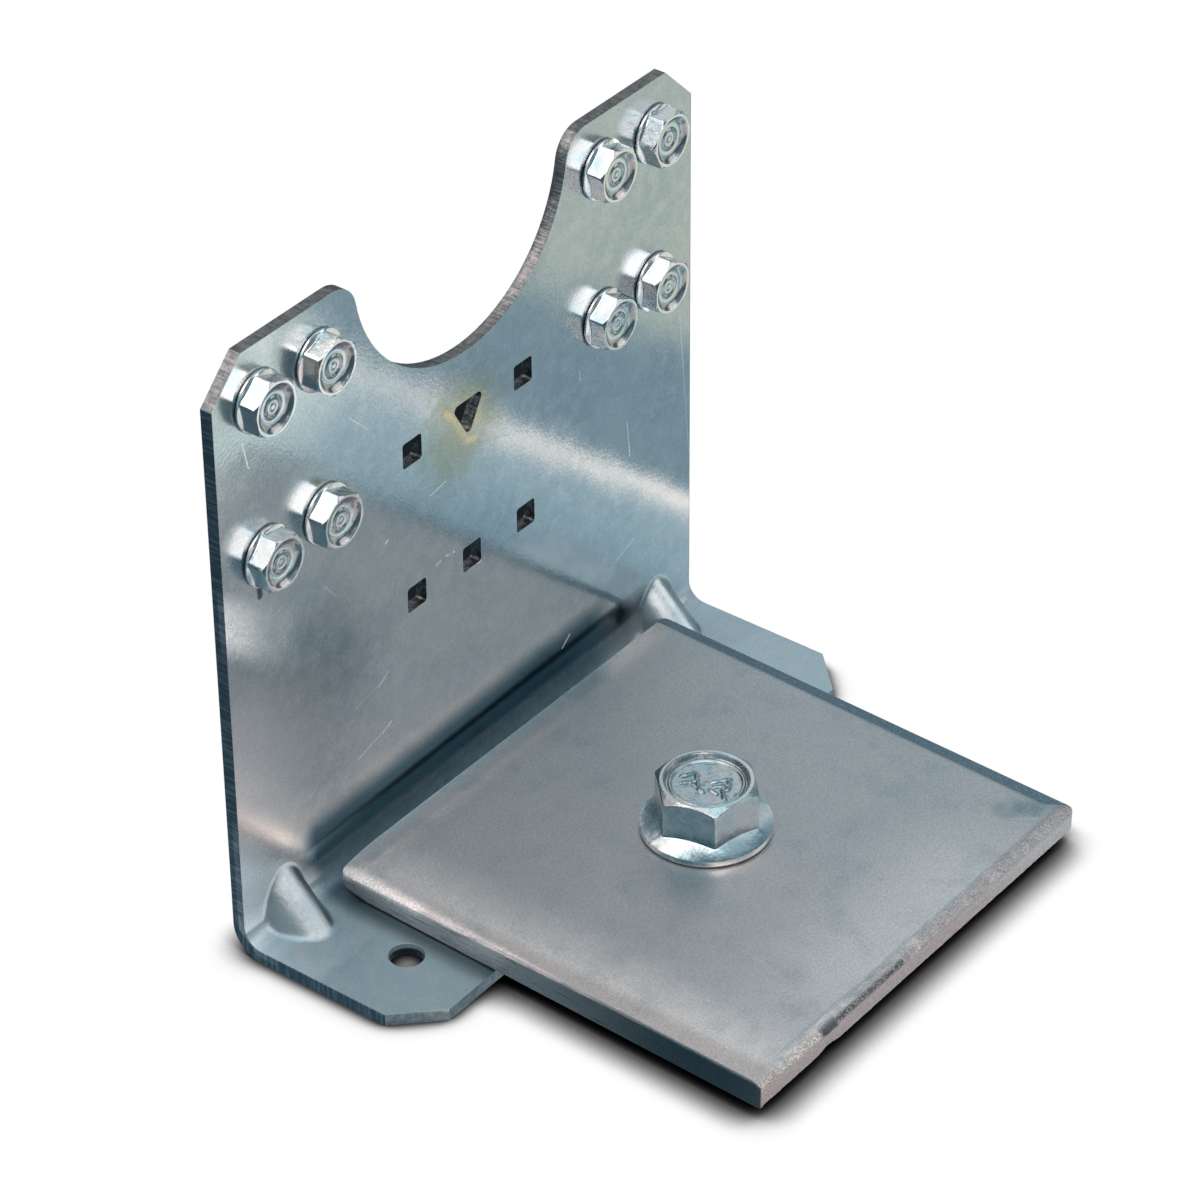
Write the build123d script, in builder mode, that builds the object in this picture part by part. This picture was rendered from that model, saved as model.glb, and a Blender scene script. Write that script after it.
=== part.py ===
from build123d import *
import math
import os

# Kneewall connector, in millimetres, +Z up.
# A folded steel angle stands with its leg against a steel stud and its base on the floor. A square
# bearing plate lies on the base under one screw anchor, and eight sheet metal screws hold the leg.
# The origin is on the underside of the base, midway between its two small holes. The leg stands
# behind it, towards +Y.

INCH = 25.4

# Folded angle
sheet = 2.0
angle_width = 107.2
leg_height = 99.5
base_reach = 32.4
bend_radius = 3.0
leg_corner_cut = 6.35
base_corner_cut = 6.6

# Tongue of the base, under the bearing plate, with the anchor's hole
tongue_width = 60.0
tongue_reach = 2.5 * INCH
tongue_root_radius = 3.0
tongue_corner_cut = 6.35

# Notch in the top of the leg
notch_radius = 23.8
notch_mouth_radius = 4.9

# Holes in the leg, counted from its top edge and its side edges
top_row_inset = 8.9
row_pitch = INCH
square_pitch = 25.05
outer_column_inset = 9.15
column_pitch = 0.5 * INCH
screw_hole_clearance = 0.4
square_hole = 4.2
square_hole_corner = 0.5
triangle_side = 7.3
triangle_corner = 0.8
triangle_rise = 0.1

# Small holes in the base, counted from the leg and its side edges
small_hole = 5.3
small_hole_inset = 12.1
small_hole_setback = 20.1

# Darts pressed across the bend, half an ellipse in section
dart_inset = 8.9
dart_half_width = 4.5
dart_height = 6.0
dart_root_radius = 1.0

# Bearing plate, which lies a little off the angle's middle and a little turned. A skew is how much
# further left a side's front end stands than its back end.
plate_width = 77.2
plate_depth = 76.8
plate_left_skew = 1.4
plate_right_skew = 0.4
plate_thickness = 0.1875 * INCH
plate_roll_radius = 1.5
plate_under_radius = 0.5
plate_facet_width = 3.0
plate_facet_drop = 0.9
plate_corner_radius = 2.0
plate_rolled_corner_radius = 3.5
plate_gap = 0.45
plate_shift = 1.65
plate_turn = -0.6

# Screw anchor with a hex washer head
anchor_shank = 0.375 * INCH
anchor_length = 3.0 * INCH
anchor_neck_diameter = 8.6
anchor_neck_length = 0.5 * INCH
anchor_tip_length = 3.0
anchor_tip_diameter = 5.0
anchor_play_in_plate = 4.75
anchor_play_in_base = 8.0
anchor_offset = (1.55, 1.45)
anchor_hex = 0.5625 * INCH
anchor_turn = 45.0
anchor_head_height = 8.75
anchor_top_diameter = 13.75
anchor_flange_diameter = 19.8
anchor_flange_rim = 1.2
anchor_flange_rise = 1.3
anchor_recess_diameter = 12.6
anchor_recess_depth = 0.8

# Sheet metal screws with hex washer heads, and short points that the leg hides
screw_diameter = 5.5
screw_length = 0.25 * INCH
screw_point_angle = 90.0
screw_neck_diameter = 4.6
screw_neck_past_sheet = 0.2
screw_hex = 0.3125 * INCH
screw_head_height = 3.5
screw_top_diameter = 8.8
screw_washer_diameter = 9.5
screw_washer_rim = 0.55
screw_washer_rise = 0.3
screw_dish_diameter = 7.2
screw_dish_centre = 5.0
screw_dish_depth = 0.7
head_chamfer_angle = 30.0

# Places that follow from the sizes above
leg_front = small_hole_setback
leg_back = leg_front + sheet
base_front = leg_front - base_reach
tongue_front = leg_front - tongue_reach
outer_column = angle_width / 2 - outer_column_inset
inner_column = outer_column - column_pitch
top_row = leg_height - top_row_inset
middle_row = top_row - row_pitch
bottom_row = middle_row - square_pitch
dart_column = angle_width / 2 - dart_inset
small_hole_column = angle_width / 2 - small_hole_inset
plate_top = sheet + plate_thickness
plate_y = leg_front - bend_radius - plate_gap - plate_depth / 2
anchor_x = plate_shift + anchor_offset[0]
anchor_y = plate_y + anchor_offset[1]
leg_plane = Plane(origin=(0, leg_front, 0), x_dir=(1, 0, 0), z_dir=(0, -1, 0))

# Each screw's column, its row and the turn of its hex in degrees
screw_places = [
    (-outer_column, top_row, 39),
    (-inner_column, top_row, 22),
    (-outer_column, middle_row, 47),
    (-inner_column, middle_row, 39),
    (inner_column, top_row, 42),
    (outer_column, top_row, 55),
    (inner_column, middle_row, 34),
    (outer_column, middle_row, 29),
]

# Square holes: three in the bottom row, and two beside the triangle in the middle row
square_places = [(column * column_pitch, bottom_row) for column in (-1, 0, 1)]
square_places += [(column * column_pitch, middle_row) for column in (-1, 1)]


# Dart: a rib across the inside of the bend, and a groove one sheet deeper behind it
dart_plane = Plane(origin=(0, leg_front, sheet), x_dir=(1, 0, 0), z_dir=(0, -1, -1))
dart_run = 3 * dart_height

with BuildPart() as dart_rib:
    mid_sheet = (leg_front + sheet / 2, sheet / 2)
    with BuildSketch(Plane.YZ) as inside_of_bend:
        with BuildLine():
            Polyline(
                (mid_sheet[0], mid_sheet[1] + dart_run),
                mid_sheet,
                (mid_sheet[0] - dart_run, mid_sheet[1]),
                close=True,
            )
        make_face()
        fillet(inside_of_bend.vertices().sort_by_distance(mid_sheet)[0], bend_radius + sheet / 2)
    extrude(amount=dart_half_width, both=True)
    with BuildSketch(dart_plane):
        Ellipse(dart_half_width, dart_height)
    extrude(amount=dart_run, both=True, mode=Mode.INTERSECT)

with BuildPart() as dart_groove:
    with BuildSketch(dart_plane):
        Ellipse(dart_half_width - sheet, dart_height - sheet)
        with Locations((0, -dart_height / 2)):
            Rectangle(2 * (dart_half_width - sheet), dart_height)
    extrude(amount=dart_run, both=True)


# Angle: an L in section, cut to its outline from above and to its outline from the front
with BuildPart() as angle_bracket:
    with BuildSketch(Plane.YZ) as section:
        with BuildLine():
            Polyline(
                (leg_back, leg_height),
                (leg_back, 0),
                (tongue_front, 0),
                (tongue_front, sheet),
                (leg_front, sheet),
                (leg_front, leg_height),
                close=True,
            )
        make_face()
        fillet(section.vertices().sort_by_distance((leg_front, sheet))[0], bend_radius)
        fillet(section.vertices().sort_by_distance((leg_back, 0))[0], bend_radius + sheet)
    extrude(amount=angle_width / 2, both=True)

    with BuildSketch() as base_outline:
        with BuildLine():
            Polyline(
                (0, leg_back),
                (angle_width / 2, leg_back),
                (angle_width / 2, base_front + base_corner_cut),
                (angle_width / 2 - base_corner_cut, base_front),
                (tongue_width / 2, base_front),
                (tongue_width / 2, tongue_front + tongue_corner_cut),
                (tongue_width / 2 - tongue_corner_cut, tongue_front),
                (0, tongue_front),
            )
            mirror(about=Plane.YZ)
        make_face()
        for side in (-1, 1):
            root = (side * tongue_width / 2, base_front)
            fillet(base_outline.vertices().sort_by_distance(root)[0], tongue_root_radius)
    extrude(amount=leg_height, mode=Mode.INTERSECT)

    with BuildSketch(leg_plane) as leg_outline:
        with Locations((0, leg_height / 2)):
            Rectangle(angle_width, leg_height)
        chamfer(leg_outline.vertices().group_by(Axis.Y)[-1], leg_corner_cut)
        with Locations((0, leg_height)):
            Circle(notch_radius, mode=Mode.SUBTRACT)
        for side in (-1, 1):
            mouth = (side * notch_radius, leg_height)
            fillet(leg_outline.vertices().sort_by_distance(mouth)[0], notch_mouth_radius)
    extrude(amount=tongue_reach, both=True, mode=Mode.INTERSECT)

    with Locations((-dart_column, 0, 0), (dart_column, 0, 0)):
        add(dart_rib.part)
    rib_edges = angle_bracket.faces().filter_by(GeomType.EXTRUSION).edges()
    fillet([edge for edge in rib_edges if edge.geom_type != GeomType.LINE], dart_root_radius)
    with Locations((-dart_column, 0, 0), (dart_column, 0, 0)):
        add(dart_groove.part, mode=Mode.SUBTRACT)

    with BuildSketch(leg_plane):
        with Locations([(column, row) for column, row, turn in screw_places]):
            Circle(screw_diameter / 2 + screw_hole_clearance)
        with Locations(square_places):
            RectangleRounded(square_hole, square_hole, square_hole_corner)
    extrude(amount=-sheet, mode=Mode.SUBTRACT)

    with BuildSketch(leg_plane) as triangle:
        with Locations((0, middle_row + triangle_rise)):
            RegularPolygon(triangle_side / math.sqrt(3), 3, rotation=-90)
        fillet(triangle.vertices(), triangle_corner)
    extrude(amount=-sheet, mode=Mode.SUBTRACT)

    with BuildSketch():
        with Locations((-small_hole_column, 0), (small_hole_column, 0)):
            Circle(small_hole / 2)
        with Locations((0, plate_y)):
            Circle((anchor_shank + anchor_play_in_base) / 2)
    extrude(amount=sheet, mode=Mode.SUBTRACT)


# Bearing plate: its left and front top edges are rolled round, its right one pressed to a facet
plate_plane = Plane(origin=(plate_shift, plate_y, sheet)).rotated((0, 0, plate_turn))
plate_corners = [
    ((-plate_width - plate_left_skew) / 2, -plate_depth / 2),
    ((plate_width - plate_right_skew) / 2, -plate_depth / 2),
    ((plate_width + plate_right_skew) / 2, plate_depth / 2),
    ((-plate_width + plate_left_skew) / 2, plate_depth / 2),
]

with BuildPart() as bearing_plate:
    with BuildSketch(plate_plane):
        Polygon(*plate_corners, align=None)
    extrude(amount=plate_thickness)
    left_edge, *_, right_edge = bearing_plate.edges().group_by(Axis.Z)[-1].sort_by(Axis.X)
    right_face = bearing_plate.faces().sort_by(Axis.X)[-1]
    chamfer(right_edge, plate_facet_drop, plate_facet_width, reference=right_face)
    top_edges = bearing_plate.faces().sort_by(Axis.Z)[-1].edges()
    fillet([top_edges.sort_by(Axis.X)[0], top_edges.sort_by(Axis.Y)[0]], plate_roll_radius)
    fillet(bearing_plate.faces().sort_by(Axis.Z)[0].edges(), plate_under_radius)
    with BuildSketch(plate_plane) as plate_outline:
        Polygon(*plate_corners, align=None)
        left_back = plate_outline.vertices().sort_by_distance(plate_corners[-1])
        fillet(left_back[0], plate_rolled_corner_radius)
        for corner in plate_corners[1:3]:
            fillet(plate_outline.vertices().sort_by_distance(corner)[0], plate_corner_radius)
    extrude(amount=plate_thickness, mode=Mode.INTERSECT)
    with BuildSketch(plate_plane):
        Circle((anchor_shank + anchor_play_in_plate) / 2)
    extrude(amount=plate_thickness, mode=Mode.SUBTRACT)


# Anchor: hex head with a recessed top, coned flange, and shank with a tapered tip
anchor_plane = Plane(origin=(anchor_x, anchor_y, plate_top))
anchor_axis = Axis(anchor_plane.origin, anchor_plane.z_dir)
anchor_section = Plane(origin=anchor_plane.origin, x_dir=(1, 0, 0), z_dir=(0, -1, 0))
anchor_chamfer_reach = anchor_hex / math.sqrt(3) - anchor_top_diameter / 2
anchor_chamfer_drop = anchor_chamfer_reach * math.tan(math.radians(head_chamfer_angle))

with BuildPart() as anchor_screw:
    with BuildSketch(anchor_plane):
        RegularPolygon(anchor_hex / 2, 6, major_radius=False, rotation=anchor_turn)
    extrude(amount=anchor_head_height)
    with BuildSketch(anchor_section):
        with BuildLine():
            Polyline(
                (0, 0),
                (anchor_hex / math.sqrt(3), 0),
                (anchor_hex / math.sqrt(3), anchor_head_height - anchor_chamfer_drop),
                (anchor_top_diameter / 2, anchor_head_height),
                (anchor_recess_diameter / 2, anchor_head_height),
                (anchor_recess_diameter / 2 - anchor_recess_depth, anchor_head_height - anchor_recess_depth),
                (0, anchor_head_height - anchor_recess_depth),
                close=True,
            )
        make_face()
    revolve(axis=anchor_axis, mode=Mode.INTERSECT)
    with BuildSketch(anchor_section):
        with BuildLine():
            Polyline(
                (0, -anchor_length),
                (anchor_tip_diameter / 2, -anchor_length),
                (anchor_shank / 2, anchor_tip_length - anchor_length),
                (anchor_shank / 2, -anchor_neck_length),
                (anchor_neck_diameter / 2, -anchor_neck_length),
                (anchor_neck_diameter / 2, 0),
                (anchor_flange_diameter / 2, 0),
                (anchor_flange_diameter / 2, anchor_flange_rim),
                (anchor_hex / 2, anchor_flange_rim + anchor_flange_rise),
                (0, anchor_flange_rim + anchor_flange_rise),
                close=True,
            )
        make_face()
    revolve(axis=anchor_axis)


def make_stud_screw(column, row, turn):
    """Sheet metal screw, its washer face against the leg."""
    seat = Plane(origin=(column, leg_front, row), x_dir=(1, 0, 0), z_dir=(0, -1, 0))
    axis = Axis(seat.origin, seat.z_dir)
    section = Plane(origin=seat.origin, x_dir=(1, 0, 0), z_dir=(0, 0, -1))
    corner_radius = screw_hex / math.sqrt(3)
    chamfer_drop = (corner_radius - screw_top_diameter / 2) * math.tan(math.radians(head_chamfer_angle))
    point_length = screw_diameter / 2 / math.tan(math.radians(screw_point_angle / 2))
    neck_length = sheet + screw_neck_past_sheet
    washer_top = screw_washer_rim + screw_washer_rise
    with BuildPart() as screw:
        with BuildSketch(seat):
            RegularPolygon(screw_hex / 2, 6, major_radius=False, rotation=turn)
        extrude(amount=screw_head_height)
        with BuildSketch(section):
            with BuildLine():
                Polyline(
                    (0, 0),
                    (corner_radius, 0),
                    (corner_radius, screw_head_height - chamfer_drop),
                    (screw_top_diameter / 2, screw_head_height),
                    (screw_dish_diameter / 2, screw_head_height),
                    (screw_dish_centre / 2, screw_head_height - screw_dish_depth),
                    (0, screw_head_height - screw_dish_depth),
                    close=True,
                )
            make_face()
        revolve(axis=axis, mode=Mode.INTERSECT)
        with BuildSketch(section):
            with BuildLine():
                Polyline(
                    (0, -screw_length),
                    (screw_diameter / 2, point_length - screw_length),
                    (screw_diameter / 2, -neck_length),
                    (screw_neck_diameter / 2, -neck_length),
                    (screw_neck_diameter / 2, 0),
                    (screw_washer_diameter / 2, 0),
                    (screw_washer_diameter / 2, screw_washer_rim),
                    (screw_hex / 2, washer_top),
                    (0, washer_top),
                    close=True,
                )
            make_face()
        revolve(axis=axis)
    return screw.part


pieces = {
    "angle_bracket": angle_bracket.part,
    "bearing_plate": bearing_plate.part,
    "anchor_screw": anchor_screw.part,
}
for number, place in enumerate(screw_places, start=1):
    pieces[f"stud_screw_{number}"] = make_stud_screw(*place)

os.makedirs("parts", exist_ok=True)
for name, piece in pieces.items():
    piece.label = name
    export_step(piece, f"parts/{name}.step")
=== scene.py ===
import math

import bpy
from mathutils import Matrix, Vector, noise


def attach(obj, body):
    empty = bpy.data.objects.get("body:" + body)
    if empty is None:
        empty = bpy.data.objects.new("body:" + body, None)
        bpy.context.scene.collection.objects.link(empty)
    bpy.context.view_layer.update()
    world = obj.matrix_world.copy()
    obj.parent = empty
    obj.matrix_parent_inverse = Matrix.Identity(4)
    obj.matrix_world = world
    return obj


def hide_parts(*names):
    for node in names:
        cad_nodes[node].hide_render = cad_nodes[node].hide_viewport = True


# Kneewall connector: a galvanised angle, a bearing plate, one screw anchor and eight screws.
# Metres, +Z up, with the origin on the underside of the base and the leg towards +Y.
# Sizes below are in millimetres and are turned into metres where a mesh is made.

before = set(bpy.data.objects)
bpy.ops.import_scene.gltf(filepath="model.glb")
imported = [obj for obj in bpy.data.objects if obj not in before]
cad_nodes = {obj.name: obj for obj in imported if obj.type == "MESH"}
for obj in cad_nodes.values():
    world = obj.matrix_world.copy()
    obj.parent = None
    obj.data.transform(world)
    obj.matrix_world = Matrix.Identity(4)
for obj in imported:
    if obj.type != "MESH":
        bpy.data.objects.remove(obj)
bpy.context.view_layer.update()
MM = 0.001

LEG_FRONT = 20.1
SHEET = 2.0
ANGLE_HALF = 53.6

PLATE_CENTRE = (1.65, -21.75)
PLATE_TURN = math.radians(-0.6)
# Corners from front left round to back left, about the plate's centre, each with its radius
PLATE_CORNERS = [
    ((-39.3, -38.38), 0.4),
    ((38.7, -38.38), 0.7),
    ((40.0, 38.4), 1.2),
    ((-37.9, 38.36), 0.9),
]
PLATE_DEPTH = 76.8
PLATE_LOW = 2.0
PLATE_HIGH = 6.7625
PLATE_HOLE = 7.1375
# Where the chip in the plate's front edge lies, from the plate's centre
GOUGE_X = -23.0
GOUGE_HALF = 1.7

ANCHOR_SEAT = (3.2, -20.3, PLATE_HIGH)
ANCHOR_TURN = 45.0

# Column, row and turn of each stud screw, in the order of the CAD nodes
SCREW_PLACES = [
    (-44.45, 90.6, 39),
    (-31.75, 90.6, 22),
    (-44.45, 65.2, 47),
    (-31.75, 65.2, 39),
    (31.75, 90.6, 42),
    (44.45, 90.6, 55),
    (31.75, 65.2, 34),
    (44.45, 65.2, 29),
]

# Camera, solved from the photograph's 1200 by 1200 frame
IMAGE_SIDE = 1200
FOCAL_PIXELS = 4750.0
SENSOR_WIDTH = 36
VIEW_AZIMUTH = math.radians(-52.055)
VIEW_ELEVATION = math.radians(34.233)
VIEW_ROLL = math.radians(-0.676)
CENTRE_PIXEL = (580, 480)
AIM = Vector((0, -9.9, 60)) * MM
AIM_OFFSET = Vector((7.803, -4.646, 668.818)) * MM


def make_camera():
    back = Vector((
        math.sin(VIEW_AZIMUTH) * math.cos(VIEW_ELEVATION),
        -math.cos(VIEW_AZIMUTH) * math.cos(VIEW_ELEVATION),
        math.sin(VIEW_ELEVATION),
    ))
    level = Vector((math.cos(VIEW_AZIMUTH), math.sin(VIEW_AZIMUTH), 0))
    upright = back.cross(level)
    right = math.cos(VIEW_ROLL) * level + math.sin(VIEW_ROLL) * upright
    up = -math.sin(VIEW_ROLL) * level + math.cos(VIEW_ROLL) * upright
    data = bpy.data.cameras.new("camera")
    data.sensor_width = SENSOR_WIDTH
    data.lens = FOCAL_PIXELS / IMAGE_SIDE * data.sensor_width
    data.shift_x = -(CENTRE_PIXEL[0] - IMAGE_SIDE / 2) / IMAGE_SIDE
    data.shift_y = (CENTRE_PIXEL[1] - IMAGE_SIDE / 2) / IMAGE_SIDE
    data.clip_start = 0.01
    data.clip_end = 10
    camera = bpy.data.objects.new("camera", data)
    turn = Matrix((right, up, back)).transposed().to_4x4()
    place = AIM - AIM_OFFSET.x * right - AIM_OFFSET.y * up + AIM_OFFSET.z * back
    camera.matrix_world = Matrix.Translation(place) @ turn
    bpy.context.scene.collection.objects.link(camera)
    bpy.context.scene.camera = camera


def opaque(colour):
    """A colour of three numbers with its alpha added. Another node's output is passed on."""
    return (*colour, 1) if isinstance(colour, tuple) else colour


def scaled(colour, factors):
    return tuple(value * factor for value, factor in zip(colour, factors))


class Graph:
    """Adds nodes to one node tree, each input given as a number, a tuple or another node's output."""

    def __init__(self, tree):
        self.tree = tree

    def node(self, kind, inputs=None, **settings):
        made = self.tree.nodes.new(kind)
        for key, value in settings.items():
            setattr(made, key, value)
        for key, value in (inputs or {}).items():
            if isinstance(value, bpy.types.NodeSocket):
                self.tree.links.new(value, made.inputs[key])
            else:
                made.inputs[key].default_value = value
        return made

    def math(self, operation, *values):
        """One operation on numbers, applied from the left when there are more than two."""
        total, *others = values
        if not others:
            return self.node("ShaderNodeMath", {0: total}, operation=operation).outputs[0]
        for value in others:
            total = self.node("ShaderNodeMath", {0: total, 1: value}, operation=operation).outputs[0]
        return total

    def plus(self, *values):
        return self.math("ADD", *values)

    def minus(self, *values):
        return self.math("SUBTRACT", *values)

    def times(self, *values):
        return self.math("MULTIPLY", *values)

    def most(self, *values):
        return self.math("MAXIMUM", *values)

    def above(self, value, limit):
        return self.math("GREATER_THAN", value, limit)

    def below(self, value, limit):
        return self.math("LESS_THAN", value, limit)

    def absolute(self, value):
        return self.math("ABSOLUTE", value)

    def vector(self, operation, *values, scale=None, output=0):
        inputs = dict(enumerate(values))
        if scale is not None:
            inputs["Scale"] = scale
        return self.node("ShaderNodeVectorMath", inputs, operation=operation).outputs[output]

    def dot(self, a, b):
        return self.vector("DOT_PRODUCT", a, b, output=1)

    def distance(self, a, b):
        return self.vector("DISTANCE", a, b, output=1)

    def point(self, x, y, z):
        return self.node("ShaderNodeCombineXYZ", {0: x, 1: y, 2: z}).outputs[0]

    def split(self, vector):
        return self.node("ShaderNodeSeparateXYZ", {0: vector}).outputs

    def mix(self, factor, a, b, blend="MIX"):
        """Blend from colour a to colour b."""
        inputs = {0: factor, 6: opaque(a), 7: opaque(b)}
        return self.node("ShaderNodeMix", inputs, data_type="RGBA", blend_type=blend).outputs[2]

    def paint(self, tone, *layers):
        """The tone with layers over it, each a mask and a colour."""
        for mask, colour in layers:
            tone = self.mix(mask, tone, colour)
        return tone

    def mix_numbers(self, factor, a, b):
        return self.node("ShaderNodeMix", {0: factor, 2: a, 3: b}).outputs[0]

    def mix_shaders(self, factor, a, b):
        return self.node("ShaderNodeMixShader", {0: factor, 1: a.outputs[0], 2: b.outputs[0]})

    def emission(self, colour):
        return self.node("ShaderNodeEmission", {"Color": opaque(colour)})

    def ramp(self, value, low, high, start=0.0, end=1.0):
        """Smooth rise from start to end while value goes from low to high."""
        inputs = {0: value, 1: low, 2: high, 3: start, 4: end}
        return self.node("ShaderNodeMapRange", inputs, interpolation_type="SMOOTHSTEP").outputs[0]

    def fall(self, value, low, high):
        """Smooth fall from 1 to 0 while value goes from low to high."""
        return self.ramp(value, low, high, 1, 0)

    def window(self, value, rise, full, drop, end):
        """1 from full to drop, and 0 below rise and above end."""
        return self.times(self.ramp(value, rise, full), self.fall(value, drop, end))

    def noise(self, place, scale, detail=2.0, roughness=0.5, stretch=None, shift=(0, 0, 0)):
        if stretch:
            place = self.vector("MULTIPLY", place, stretch)
        place = self.vector("ADD", place, shift)
        inputs = {"Vector": place, "Scale": scale, "Detail": detail, "Roughness": roughness}
        return self.node("ShaderNodeTexNoise", inputs).outputs[0]

    def grain(self, tone, place, strength, scale=3.0):
        """The tone with fine light and dark grain in it."""
        fine = self.noise(place, scale, 3, 0.7, shift=(13, 5, 7))
        shade = self.ramp(fine, 0.3, 0.7, 1 - strength, 1 + strength)
        return self.mix(1.0, tone, self.point(shade, shade, shade), "MULTIPLY")

    def stroke(self, place, start, end, width, soft):
        """1 on a straight stroke between two points, falling to 0 beside it."""
        run = Vector(end) - Vector(start)
        along = self.dot(self.vector("SUBTRACT", place, start), tuple(run))
        along = self.math("DIVIDE", along, run.length_squared)
        along = self.node("ShaderNodeClamp", {0: along}).outputs[0]
        nearest = self.vector("ADD", self.vector("SCALE", tuple(run), scale=along), start)
        return self.fall(self.distance(place, nearest), width / 2, width / 2 + soft)

    def finish(self, shader, tone, gloss, height):
        """Give a shader its colour, its roughness and a bump from a height in millimetres."""
        bump = self.node("ShaderNodeBump", {"Strength": 1.0, "Distance": MM, "Height": height})
        self.tree.links.new(tone, shader.inputs["Base Color"])
        self.tree.links.new(gloss, shader.inputs["Roughness"])
        self.tree.links.new(bump.outputs[0], shader.inputs["Normal"])


def new_material(name):
    """A material of metal, as (material, its graph, its shader, place on the object in millimetres)."""
    material = bpy.data.materials.new(name)
    material.use_nodes = True
    graph = Graph(material.node_tree)
    shader = material.node_tree.nodes["Principled BSDF"]
    shader.inputs["Metallic"].default_value = 1
    here = graph.node("ShaderNodeTexCoord").outputs["Object"]
    return material, graph, shader, graph.vector("SCALE", here, scale=1 / MM)


# Stage

FLOOR_SIDE = 3.0
SHADOW_REACH = 0.0068
SHADOW_LEAN = (0.78, 0.30, 0.55)
SHADOW_SAMPLES = 24
SHADOW_POWER = 3.2
SHADOW_CLEAR = 0.88
FLOOR_LIT = (0.8, 0.8, 0.8)
FLOOR_DARK = (0.12, 0.2, 0.25)
# Painted shade behind the square holes
HOLE_SHADE_DARK = (0.012, 0.014, 0.017)


def make_stage_plane(name, corners):
    """A four-cornered plane that belongs to the stage, as (object, its graph, empty of nodes)."""
    mesh = bpy.data.meshes.new(name)
    mesh.from_pydata(corners, [], [(0, 1, 2, 3)])
    plane = bpy.data.objects.new(name, mesh)
    bpy.context.scene.collection.objects.link(plane)
    material = bpy.data.materials.new(name)
    material.use_nodes = True
    material.node_tree.nodes.clear()
    mesh.materials.append(material)
    return plane, Graph(material.node_tree)


def reflected_floor(graph, x, y):
    """Tones that the metal sees in the floor: a pale front, a bright strip and darker fields beyond."""
    right = graph.mix(graph.ramp(x, 40, 72), (0.30, 0.46, 0.56), (0.62, 0.80, 0.88))
    right = graph.mix(graph.fall(y, -62, -22), right, (0.66, 0.82, 0.90))
    right = graph.mix(graph.fall(y, -72, -57), right, (1.05, 1.15, 1.12))
    right = graph.mix(graph.ramp(x, 76, 82), right, (0.39, 0.53, 0.61))
    right = graph.mix(graph.ramp(x, 108, 122), right, (0.84, 0.89, 0.80))
    strip = graph.minus(x, graph.ramp(y, -40, 0, 75.4, 77.2))
    strip = graph.math("DIVIDE", strip, graph.ramp(strip, -1.0, 1.0, 3.6, 1.9))
    strip = graph.math("EXPONENT", graph.times(strip, strip, -1.0))
    strip = graph.times(strip, graph.ramp(y, -66, -28, 0.7, 1.0))
    right = graph.mix(strip, right, (1.8, 1.61, 1.5))
    right = graph.mix(graph.ramp(y, 16, 40), right, FLOOR_DARK)
    left = graph.mix(graph.fall(y, -70, -50), (0.24, 0.36, 0.43), (0.95, 0.9, 0.88))
    left = graph.mix(graph.fall(x, -110, -60), left, FLOOR_DARK)
    return graph.mix(graph.ramp(x, 10, 40), left, right)


def make_floor():
    """Pale floor: white to the camera with a soft contact shadow, and uneven where metal reflects it."""
    corners = [(x * FLOOR_SIDE, y * FLOOR_SIDE, 0) for x, y in ((-1, -1), (1, -1), (1, 1), (-1, 1))]
    _, graph = make_stage_plane("floor", corners)
    lean = tuple(Vector(SHADOW_LEAN).normalized())
    inputs = {"Distance": SHADOW_REACH, "Normal": lean}
    occlusion = graph.node("ShaderNodeAmbientOcclusion", inputs, samples=SHADOW_SAMPLES).outputs["AO"]
    shadow = graph.ramp(graph.math("POWER", occlusion, SHADOW_POWER), 0.0, SHADOW_CLEAR)
    place = graph.node("ShaderNodeNewGeometry").outputs["Position"]
    x, y, _ = graph.split(graph.vector("SCALE", place, scale=1 / MM))
    right_end = graph.ramp(y, -22, -14, 41.5, 52.5)
    shadow = graph.mix(graph.ramp(graph.minus(x, right_end), 0.0, 3.0), shadow, (1, 1, 1))
    seen = graph.emission(shadow)
    reflected = graph.emission(reflected_floor(graph, x, y))
    lit = graph.node("ShaderNodeBsdfDiffuse", {"Color": opaque(FLOOR_LIT)})
    path = graph.node("ShaderNodeLightPath").outputs
    under = graph.mix_shaders(path["Is Glossy Ray"], lit, reflected)
    over = graph.mix_shaders(path["Is Camera Ray"], under, seen)
    graph.node("ShaderNodeOutputMaterial", {"Surface": over.outputs[0]})


# Soft boxes of the studio: direction towards it, cosines where it fades out and is full, its colour
SOFT_BOXES = [
    ((-0.42, 0.51, 0.75), 0.85, 0.94, (2.9, 2.6, 2.45)),
    ((0.35, 0.55, 0.76), 0.82, 0.96, (0.62, 0.57, 0.54)),
    ((0.62, -0.67, 0.41), 0.93, 0.968, (1.3, 1.21, 1.15)),
    ((-0.40, -0.50, 0.77), 0.86, 0.94, (2.9, 2.6, 2.45)),
    ((0.24, -0.52, 0.82), 0.90, 0.96, (0.9, 0.82, 0.78)),
    ((-0.85, 0.20, 0.43), 0.60, 0.95, (0.2, 0.3, 0.32)),
    ((0.93, 0.10, 0.36), 0.90, 0.97, (0.42, 0.42, 0.4)),
]
SKY_COLOUR = (0.22, 0.34, 0.41)
SKY_LOW = (0.10, 0.17, 0.22)


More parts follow.
